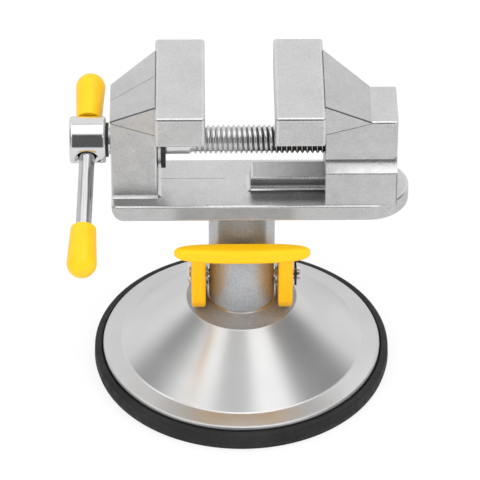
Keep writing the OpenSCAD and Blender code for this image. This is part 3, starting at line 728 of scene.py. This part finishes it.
PILLAR_X = BACK_X + 18.5
PILLAR_HALF = 9.1
pillar = stocked(block("pillar", (BACK_X, -PILLAR_HALF, PLATE_TOP - 1), (PILLAR_X, PILLAR_HALF, JAW_Z + 1.8)))
soften(pillar, 1.2, 5, lambda m, d: abs(d.z) > 0.9 and m.x > PILLAR_X - 1, RUBBED_AND_HIGHLIGHT)
soften(pillar, 0.5, 3, lambda m, d: abs(d.z) > 0.9 and m.x < BACK_X + 1, RUBBED_AND_HIGHLIGHT)
combine(head, pillar, "UNION")
# A small fillet goes round the pillar's foot, in the lighter edge finish, which here is a painted highlight.
foot = [(-0.3, -0.3), (1.25, -0.3), (1.25, 0), (0.82, 0.28), (0.4, 0.61), (0, 0.96), (-0.3, 0.96)]
for side in (-1, 1):
    outline = [(side * (PILLAR_HALF + out), PLATE_TOP + up) for out, up in foot]
    combine(head, stocked(extruded("foot", outline, "X", BACK_X + 0.4, PILLAR_X - 0.2), RUBBED_AND_HIGHLIGHT), "UNION")
outline = [(PILLAR_X + out, PLATE_TOP + up) for out, up in foot]
combine(head, stocked(extruded("foot", outline, "Y", 0.2 - PILLAR_HALF, PILLAR_HALF - 0.2), RUBBED_AND_HIGHLIGHT), "UNION")

WEB_LONG = 17.65
WEB_WIDE = 39.4
WEB_DROP = 11.6
web = wedge("web", (BACK_X, 25.6, JAW_Z + 1.0, TOP_Z - WEB_DROP), (BACK_X + WEB_LONG, WEB_WIDE, JAW_Z, TOP_Z))
combine(head, web, "UNION")
combine(head, jaw_block("fixed_jaw", BACK_X + 17.6), "UNION")


def bore(piece, x0, x1, r, z):
    """Drills a piece along X from x0 to x1, with radius r at height z."""
    bpy.ops.object.select_all(action="DESELECT")
    bpy.ops.mesh.primitive_cylinder_add(vertices=72, radius=r * MM, depth=(x1 - x0) * MM)
    tool = bpy.context.object
    tool.name = "bore"
    tool.data.transform(Matrix.Translation(Vector(((x0 + x1) / 2, 0, z)) * MM) @ Matrix.Rotation(math.pi / 2, 4, "Y"))
    combine(piece, tool, "DIFFERENCE")


# A line is scribed on the plate, and the halves of the die left their parting line down the web.
scribed = block("scribed", (BACK_X + 19.4, 2.85, PLATE_TOP - 0.1), (BACK_X + 45, 3.0, PLATE_TOP + 1))
combine(head, stocked(scribed, SEAM_AND_SHADE), "DIFFERENCE")
WEB_SLOPE = WEB_DROP / WEB_LONG
LINE_DEPTH = 0.12
parting = [(-0.5, -LINE_DEPTH), (17.4, -LINE_DEPTH), (17.4, 2), (-0.5, 2)]
parting = [(BACK_X + x, TOP_Z - WEB_DROP + x * WEB_SLOPE + z) for x, z in parting]
combine(head, stocked(extruded("parting", parting, "Y", 1.5, 1.7), SEAM_AND_SHADE), "DIFFERENCE")
bore(head, BACK_X - 1, PILLAR_X + 1, BORE_R, SCREW_Z)
BOLT_R = 4.05
bolt_hole = extruded("bolt_hole", arc(0, 0, BOLT_R, 0, 350, 35), "Z", PLATE_Z - 1, PLATE_Z + 5.1)
combine(head, bolt_hole, "DIFFERENCE")

settle(head)
wear(head, cast, "head_casting", "head", "cast_aluminium", rubbed_and_highlight, seam_and_shade, milled, ridden_and_shaded)


# Moving jaw: a second casting of the same metal, of a jaw block, a web and a saddle whose hollow coves
# catch the light. The saddle straddles the rail and is bored for the spindle.
JAW_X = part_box("moving_jaw")[0][0] / MM
TAIL_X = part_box("moving_jaw")[1][0] / MM
SADDLE_X = JAW_X + 20.1
SEAT_Z = PLATE_TOP + 0.1
SIDE_H = 15
COVE_TOP = 20.3
LAND_Z = JAW_Z + 0.8
LAND_HALF = 12.5
saddle_half = [(15.2, 0), (15.2, SIDE_H), (14.1, 15.69), (13.1, 16.39), (12.1, 17.17), (11.2, 17.93), (10.5, 18.57),
               (10.3, 18.8), (10.3, 20.0), (LAND_HALF, 20.2)]
saddle_half = [(y, SEAT_Z + z) for y, z in saddle_half] + [(LAND_HALF, LAND_Z)]
jaw = stocked(extruded("jaw_cast", mirrored(saddle_half), "X", SADDLE_X, TAIL_X))
# The cove faces take the lighter edge finish, which here is a painted highlight. The underside of the overhang above
# them takes the dark seam finish as painted shade.
for face in jaw.data.polygons:
    height = face.center.z / MM - SEAT_Z
    if abs(face.normal.x) < 0.5 and SIDE_H - 0.05 < height < COVE_TOP:
        face.material_index = SEAM_AND_SHADE if height > COVE_TOP - 0.4 else RUBBED_AND_HIGHLIGHT
soften(jaw, 1.2, 5, lambda m, d: abs(d.x) > 0.9 and m.z > LAND_Z - 0.1, RUBBED_AND_HIGHLIGHT)
soften(jaw, 0.4, 3, lambda m, d: abs(d.x) > 0.9 and abs(m.z - SEAT_Z - SIDE_H) < 0.1 and abs(m.y) > 15, PLAIN)
# The saddle's tail corners get a narrow bevel in the dark seam finish, as painted shade.
soften(jaw, 0.35, 1, lambda m, d: abs(d.z) > 0.9 and m.x > TAIL_X - 0.1 and abs(m.y) > 15, SEAM_AND_SHADE)
web = wedge("web", (TAIL_X - 10.4, 25.0, JAW_Z, LAND_Z), (JAW_X + 19.35, WEB_WIDE, JAW_Z, TOP_Z))
combine(jaw, web, "UNION")
land = block("land", (JAW_X + 18, -LAND_HALF, JAW_Z), (JAW_X + 30, LAND_HALF, LAND_Z - 0.01))
combine(jaw, stocked(land), "UNION")
combine(jaw, jaw_block("sliding_jaw", JAW_X), "UNION")
TAIL_R = 2.2
for side in (-1, 1):
    corner = [(TAIL_X + 1, 17)] + arc(TAIL_X - TAIL_R, LAND_HALF - TAIL_R, TAIL_R, 0, 90, 8) + [(TAIL_X - TAIL_R, 17)]
    corner = [(x, side * y) for x, y in corner]
    combine(jaw, stocked(extruded("corner", corner, "Z", SEAT_Z + COVE_TOP, LAND_Z + 1)), "DIFFERENCE")
groove_half = [(8.2, -1), (7.2, 0), (7.2, 0.7)] + arc(7.1, 2.6, 1.9, 270, 143, 10) + [(6.0, 6.7)]
groove = mirrored([(y, PLATE_TOP + z) for y, z in groove_half])
combine(jaw, extruded("groove", groove, "X", SADDLE_X - 1, TAIL_X + 1), "DIFFERENCE")
bore(jaw, SADDLE_X - 1, TAIL_X + 1, BORE_R, SCREW_Z)
settle(jaw)
wear(jaw, cast, "moving_jaw", "jaw", "cast_aluminium", rubbed_and_highlight, seam_and_shade, milled, ridden_and_shaded)


# Cam lever: one yellow moulding, a bowed handle on two cheeks, with generous round edges. The cheeks'
# lower ends are the cams that press on the shell's shoulder.
HANDLE_Z = PIN_Z + 20.5
HANDLE_LEN = 54
HANDLE_T = 6.5
BACK_DEPTH = 2.9
BOW_DEPTH = 4.1
BACK_Y = -14.5
TIP_Y = BACK_Y - BACK_DEPTH
EDGE_R = 1.8
LEG_IN = 14.5
LEG_T = 5.7
LEG_R = 8.4
CAM_H = 9.68
CAM_RATE = CUP_LIFT / math.radians(70)


def handle_outline(inset):
    """The handle seen from above, drawn in by inset on every side: nearly straight behind and bowed in front."""
    points = []
    for k in range(96):
        a = 2 * math.pi * k / 96
        depth, power = (BACK_DEPTH, 2.5) if math.sin(a) > 0 else (BOW_DEPTH, 2.05)
        x = math.copysign(abs(math.cos(a)) ** (2 / power), math.cos(a)) * (HANDLE_LEN / 2 - inset)
        y = math.copysign(abs(math.sin(a)) ** (2 / power), math.sin(a)) * (depth - inset)
        points.append((x, TIP_Y + y))
    return points


layers = [(EDGE_R * (1 - math.sin(a)), EDGE_R * (1 - math.cos(a))) for a in (math.radians(15 * k) for k in range(7))]
layers += [(inset, HANDLE_T - lift) for inset, lift in reversed(layers)]
lever = traced("lever_moulding", [(*p, HANDLE_Z) for p in handle_outline(layers[0][0])])
bpy.ops.mesh.edge_face_add()
for (was, low), (inset, high) in zip(layers, layers[1:]):
    bpy.ops.mesh.extrude_region_move(TRANSFORM_OT_translate={"value": (0, 0, (high - low) * MM)})
    form = bmesh.from_edit_mesh(lever.data)
    ring = [v for v in form.verts if v.select]
    for v in ring:
        spot = Vector((v.co.x, v.co.y - TIP_Y * MM)) / MM
        depth = BACK_DEPTH if spot.y > 0 else BOW_DEPTH
        v.co.x *= (HANDLE_LEN / 2 - inset) / (HANDLE_LEN / 2 - was)
        v.co.y = (TIP_Y + spot.y * (depth - inset) / (depth - was)) * MM
    bmesh.update_edit_mesh(lever.data)
form = bmesh.from_edit_mesh(lever.data)
handle_mid = (HANDLE_Z + HANDLE_T / 2) * MM
for v in form.verts:
    thinner_at_ends = (1 - (abs(v.co.x) / MM / (HANDLE_LEN / 2 + 0.6)) ** 6) ** (1 / 3)
    v.co.z = handle_mid + (v.co.z - handle_mid) * thinner_at_ends
bmesh.update_edit_mesh(lever.data)
bpy.ops.mesh.select_all(action="SELECT")
bpy.ops.mesh.normals_make_consistent(inside=False)
# The handle's top and bottom are bent faces of 96 corners, so they are made triangles.
bpy.ops.mesh.select_all(action="DESELECT")
bpy.ops.mesh.select_mode(type="FACE")
bpy.ops.mesh.select_face_by_sides(number=4, type="GREATER")
bpy.ops.mesh.quads_convert_to_tris(quad_method="BEAUTY", ngon_method="BEAUTY")
bpy.ops.mesh.select_mode(type="VERT")
bpy.ops.object.mode_set(mode="OBJECT")


def cam_point(turn):
    """Where the cam touches the shoulder when the lever has turned so far; it lifts in step with the turn."""
    h = CAM_H + CAM_RATE * turn
    return (-h * math.sin(turn) - CAM_RATE * math.cos(turn), PIN_Z - h * math.cos(turn) + CAM_RATE * math.sin(turn))


cheek = [cam_point(math.radians(5 * k)) for k in range(15)]
cheek += [(BACK_Y - 5.4, HANDLE_Z + 2.6), (BACK_Y - 1.4, HANDLE_Z + 2.6)]
cheek += arc(0, PIN_Z, LEG_R, 60, -45, 14) + [(5.94, PIN_Z - CAM_H)]
for side in (-1, 1):
    start = LEG_IN if side > 0 else -LEG_IN - LEG_T
    leg = extruded("cheek", cheek, "X", start, start + LEG_T)
    soften(leg, 1.0, 4, lambda m, d: abs(d.x) < 0.1 and m.z < HANDLE_Z + 2)
    combine(lever, leg, "UNION")
bore(lever, -25, 25, 2.58, PIN_Z)
settle(lever)
yellow, nodes, links, shader, place = material("yellow_plastic", (1.0, 0.57, 0.002), 0, 0.30)
# The cheeks below the handle are painted a deeper orange as painted shade under the handle. A faint noise varies the
# tone.
parts = split(nodes, links, place)
tone_and_leg_shade = math_node(nodes, links, "ADD", math_node(nodes, links, "MULTIPLY", noise(nodes, links, place, 40, 3), 0.3),
                  ranged(nodes, links, parts["Z"], (HANDLE_Z - 1) * MM, (HANDLE_Z + 2) * MM, 0, 0.7))
links.new(tinted(nodes, links, tone_and_leg_shade, (1.0, 0.47, 0.001), (1.0, 0.58, 0.003), 0, 1), shader.inputs["Base Color"])
varied(nodes, links, shader, place, gloss=(500, 3, 0.28, 0.40), relief=(900, 3, 0.10, 0.0001))


def let_light_in(shader, weight, specular):
    """Light goes a little way into yellow plastic and comes out more orange."""
    shader.inputs["Subsurface Weight"].default_value = weight
    shader.inputs["Subsurface Radius"].default_value = (1.0, 0.5, 0.1)
    shader.inputs["Subsurface Scale"].default_value = 0.002
    shader.inputs["Specular IOR Level"].default_value = specular


let_light_in(shader, 0.12, 0.3)
wear(lever, yellow, "cam_lever", "lever", "yellow_plastic")


# Spindle: head, journal and thread turned from one steel bar and chromed. The journal runs out into one
# true right-hand helix, and the head is drilled across for the tommy bar.
PITCH = 2.0
CREST_R = 5.75
ROOT_R = 4.65
HUB_R = 9.25
HUB_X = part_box("spindle")[0][0] / MM
HUB_END_X = HUB_X + 14.3
CLIP_X = PILLAR_X + 1.2
CLIP_END_X = CLIP_X + 1.85
CLIP_R = 4.7
THREAD_X = PILLAR_X + 13.8
SCREW_END_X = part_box("spindle")[1][0] / MM
ALONG_X = Matrix.Rotation(math.pi / 2, 4, "Y")


def laid(piece, z):
    """Turns a piece that was made about the Z axis to lie along X at height z in millimetres."""
    piece.data.transform(Matrix.Translation((0, 0, z * MM)) @ ALONG_X)
    return piece


spindle = laid(turned("screw_spindle", [
    (0, HUB_X + 1.4, 0), (1.4, HUB_X, 0), (HUB_R, HUB_X, 1.3), (HUB_R, HUB_END_X, 1.3), (CREST_R, HUB_END_X, 0.2),
    (CREST_R, CLIP_X, 0.1), (CLIP_R, CLIP_X, 0), (CLIP_R, CLIP_END_X, 0), (CREST_R, CLIP_END_X, 0.1),
    (CREST_R, THREAD_X - 1.5, 0.6), (ROOT_R, THREAD_X + 0.5, 0.3), (0, THREAD_X + 0.5, 0),
], steps=96), SCREW_Z)
BAR_WAY = Vector((0.029874, 0.950587, 0.309017))
HUB_MID = Vector(((HUB_X + HUB_END_X) / 2, 0, SCREW_Z))
BAR_HOLE_R = 3.55
MOUTH_R = 7.2
hole = turned("hub_hole", [
    (0, -15, 0), (MOUTH_R, -11.5, 0), (BAR_HOLE_R, 1.2 - HUB_R, 0.4), (BAR_HOLE_R, HUB_R - 1.2, 0.4),
    (MOUTH_R, 11.5, 0), (0, 15, 0),
], steps=72)
hole.data.transform(Matrix.Translation(HUB_MID * MM) @ BAR_WAY.to_track_quat("Z", "Y").to_matrix().to_4x4())
combine(spindle, hole, "DIFFERENCE")
cleaned(spindle)
smooth(spindle, 25)


def wound(piece, rise, rounds):
    """Winds a traced section round the Z axis, climbing by rise in each round."""
    bpy.ops.object.mode_set(mode="OBJECT")
    winding = piece.modifiers.new("winding", "SCREW")
    winding.axis = "Z"
    winding.angle = 2 * math.pi
    winding.screw_offset = rise * MM
    winding.steps = 40
    winding.render_steps = 40
    winding.iterations = rounds
    winding.use_merge_vertices = True
    winding.merge_threshold = 0.000004
    only(piece)
    bpy.ops.object.modifier_apply(modifier="winding")


steps_up = [(ROOT_R, 0), (ROOT_R, 0.10), (5.0, 0.22), (CREST_R - 0.08, 0.49), (CREST_R, 0.53),
            (CREST_R, 0.59), (CREST_R - 0.08, 0.63), (5.0, 0.88), (ROOT_R, 1.0)]
thread = traced("thread", [(r, 0, share * PITCH) for r, share in steps_up], closed=False)
wound(thread, PITCH, int((SCREW_END_X - THREAD_X) / PITCH) + 4)
thread.data.transform(Matrix.Translation(((THREAD_X - 2 * PITCH) * MM, 0, SCREW_Z * MM)) @ ALONG_X)
edit(thread)
bpy.ops.mesh.remove_doubles(threshold=0.000003)
for x, at_start in ((THREAD_X, True), (SCREW_END_X, False)):
    bpy.ops.mesh.select_all(action="SELECT")
    bpy.ops.mesh.bisect(plane_co=(x * MM, 0, 0), plane_no=(1, 0, 0), clear_inner=at_start, clear_outer=not at_start,
                        use_fill=True, threshold=0.000001)
outwards()
smooth(thread, 25)
only(spindle)
thread.select_set(True)
bpy.ops.object.join()

chrome, nodes, links, shader, place = material("chrome", (0.80, 0.80, 0.81), 1, 0.12)
varied(nodes, links, shader, place, tint=(90, 3, (0.78, 0.78, 0.79), (0.86, 0.86, 0.87)),
       gloss=(180, 4, 0.05, 0.12), relief=(600, 3, 0.05, 0.0001))
root_shade, nodes, links, shader, place = material("painted_root_shade", (0.2, 0.2, 0.2), 1, 0.35)
parts = split(nodes, links, place)
# Painted shade lies in the roots of the thread, deeper towards the moving jaw and fading towards the pillar. From
# about where the moving jaw begins, it covers the flanks too.
JAW_SHADE_X = BACK_X + 64.5
lighter_to_pillar = math_node(nodes, links, "ADD", math_node(nodes, links, "MULTIPLY", noise(nodes, links, place, 500, 3), 0.25),
                    ranged(nodes, links, parts["X"], (BACK_X + 44) * MM, (BACK_X + 62) * MM, 0.75, 0))
links.new(tinted(nodes, links, lighter_to_pillar, (0.04, 0.04, 0.04), (0.66, 0.66, 0.66), 0, 1), shader.inputs["Base Color"])
for face in spindle.data.polygons:
    off_axis = math.hypot(face.center.y, face.center.z - SCREW_Z * MM) / MM
    shade_reach = 5.05 if face.center.x < JAW_SHADE_X * MM else 5.5
    face.material_index = 1 if face.center.x > THREAD_X * MM and off_axis < shade_reach else 0
wear(spindle, chrome, "spindle", "screw", "chrome", root_shade)


# Small zinc-plated steel parts: the washers, and inside the base the pull rod, the cup's insert and the
# swivel bolt with its spring washer. The pressed and turned shapes of the CAD are right and stay.
zinc, nodes, links, shader, place = material("zinc_steel", (0.66, 0.66, 0.67), 1, 0.28)
varied(nodes, links, shader, place, tint=(240, 4, (0.54, 0.54, 0.56), (0.74, 0.74, 0.75)),
       gloss=(700, 3, 0.20, 0.36), relief=(1600, 3, 0.10, 0.0001))


def finish_node(node, made):
    """Gives a CAD node that stays as it is its finish."""
    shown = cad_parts[node]
    shown.data.materials.clear()
    shown.data.materials.append(made)


for node in ("swivel_washer", "pin_washers", "pull_rod", "cup_insert",
             "swivel_bolt", "spring_washer", "spindle_washer"):
    finish_node(node, zinc)


# Return spring: plated steel wire coiled round the pull rod, between the cup's insert and the foot of the
# column. It closes up as the lever lifts the cup, and pushes the cup down again.
SPRING_LOW, SPRING_HIGH = (corner[2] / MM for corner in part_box("return_spring"))
SPRING_R = 10
WIRE_R = 0.8
COILS = 4
wire = [(SPRING_R + x, 0, SPRING_LOW + WIRE_R + z) for x, z in arc(0, 0, WIRE_R, 0, 330, 11)]
spring = traced("coil_spring", wire)
wound(spring, (SPRING_HIGH - SPRING_LOW - 2 * WIRE_R) / COILS, COILS)
edit(spring)
bpy.ops.mesh.fill_holes(sides=0)
outwards()
smooth(spring, 40)
wear(spring, zinc, "return_spring", "base", "zinc_steel")
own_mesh(spring)


# Cross pin: a turned and chromed pin with a domed head. It has a groove for the clip that holds it, and a
# chamfered end.
PIN_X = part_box("cross_pin")[0][0] / MM
PIN_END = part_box("cross_pin")[1][0] / MM
PIN_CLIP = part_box("pin_clip")[0][0] / MM
PIN_CLIP_END = PIN_CLIP + 0.85
PIN_R = 2.5
PIN_HEAD_R = 4.4
PIN_HEAD_END = PIN_X + 1.6
pin = laid(turned("headed_pin", [
    (0, PIN_X, 0), (2.6, PIN_X, 1.0), (PIN_HEAD_R, PIN_X + 0.7, 0.5), (PIN_HEAD_R, PIN_HEAD_END, 0.15),
    (PIN_R, PIN_HEAD_END, 0.1), (PIN_R, PIN_CLIP, 0.1), (2.0, PIN_CLIP, 0), (2.0, PIN_CLIP_END, 0),
    (PIN_R, PIN_CLIP_END, 0.1), (PIN_R, PIN_END - 0.1, 0.4), (0, PIN_END, 0),
], steps=64), PIN_Z)
wear(pin, chrome, "cross_pin", "pull", "chrome")


# Clips: stamped from spring steel and blackened, one in the groove of the cross pin and one in the
# groove of the spindle.
black, nodes, links, shader, place = material("black_steel", (0.05, 0.05, 0.055), 1, 0.32)
varied(nodes, links, shader, place, tint=(300, 4, (0.03, 0.03, 0.034), (0.10, 0.10, 0.11)),
       gloss=(900, 3, 0.24, 0.42))
finish_node("pin_clip", black)
finish_node("spindle_clip", black)


# Thrust washer: black nylon, loose on the journal, where the spindle's head presses on the pillar
# through it.
nylon, nodes, links, shader, place = material("black_nylon", (0.03, 0.03, 0.033), 0, 0.5)
varied(nodes, links, shader, place, tint=(300, 4, (0.022, 0.022, 0.024), (0.045, 0.045, 0.05)))
finish_node("thrust_washer", nylon)


# Tommy bar: a plain bright steel bar, loose in the hole of the spindle's head. It is drawn and polished
# along its length, and its finish has fine scratches that way.
drawn, nodes, links, shader, place = material("drawn_steel", (0.66, 0.66, 0.67), 1, 0.22)
lines = add_node(nodes, "ShaderNodeMapping")
lines.inputs["Scale"].default_value = (1, 0.02, 0.06)
links.new(place, lines.inputs["Vector"])
scratches = noise(nodes, links, lines.outputs[0], 2600, 3, 0.6)
links.new(ranged(nodes, links, scratches, 0.3, 0.7, 0.12, 0.22), shader.inputs["Roughness"])
links.new(tinted(nodes, links, scratches, (0.56, 0.56, 0.57), (0.72, 0.72, 0.73)), shader.inputs["Base Color"])
links.new(bumped(nodes, links, scratches, 0.08, 0.0001), shader.inputs["Normal"])
finish_node("tommy_bar", drawn)


# Bar caps: two hollow caps of glossy yellow vinyl, dip-moulded and pushed on the ends of the bar. They
# keep it in the spindle's head.
vinyl, nodes, links, shader, place = material("yellow_vinyl", (1.0, 0.53, 0.004), 0, 0.28)
varied(nodes, links, shader, place, tint=(90, 3, (1.0, 0.50, 0.002), (1.0, 0.56, 0.005)),
       relief=(260, 3, 0.12, 0.0003))
let_light_in(shader, 0.15, 0.4)
finish_node("bar_cap_front", vinyl)
finish_node("bar_cap_rear", vinyl)
